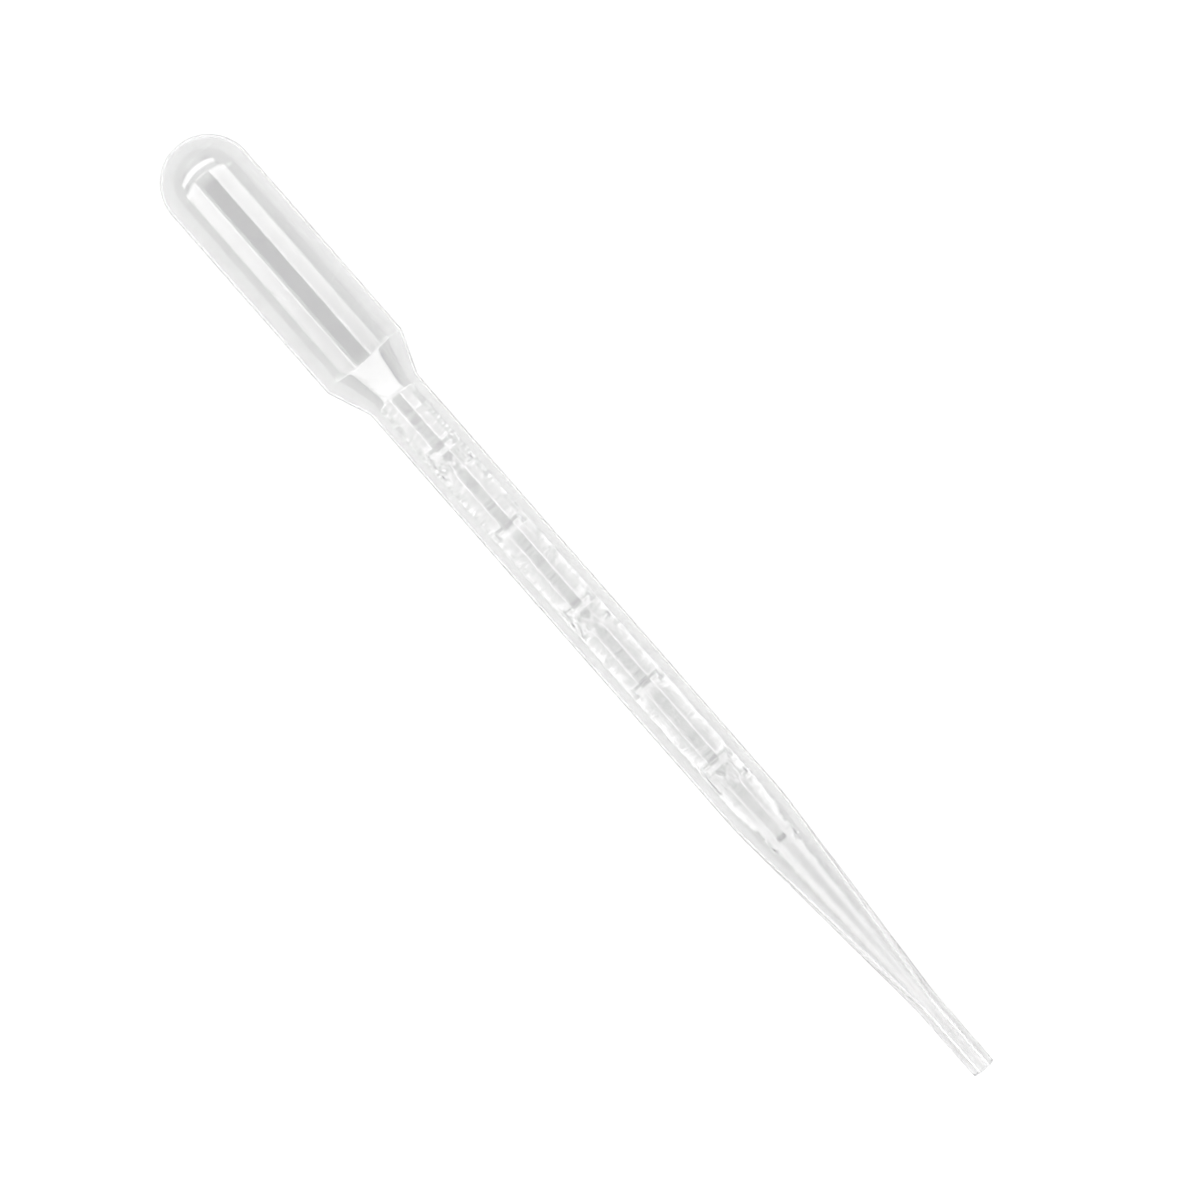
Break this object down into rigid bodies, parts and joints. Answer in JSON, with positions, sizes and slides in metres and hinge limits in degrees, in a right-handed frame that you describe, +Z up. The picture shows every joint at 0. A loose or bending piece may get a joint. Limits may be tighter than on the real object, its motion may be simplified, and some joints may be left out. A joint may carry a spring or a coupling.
{
  "type": "plastic dropper pipette",
  "caption": "Dropper pipette blown in one piece from translucent polyethylene: a round-ended squeeze bulb, a graduated stem and a fine open tip.",
  "frame": {"origin": "centre of the base of the bounding box, on the surface that the pipette lies on", "axes": "+X runs from the bulb to the tip, +Z is up with the graduations on top, and +Y is across the pipette. Its own axis falls towards the tip by the angle at which it rests."},
  "size_m": [0.15, 0.012, 0.0129],
  "materials": {
    "polyethylene": "natural low-density polyethylene, translucent, with a soft satin gloss as blown"
  },
  "bodies": {
    "root": {"pipette": "polyethylene"}
  },
  "joints": []
}
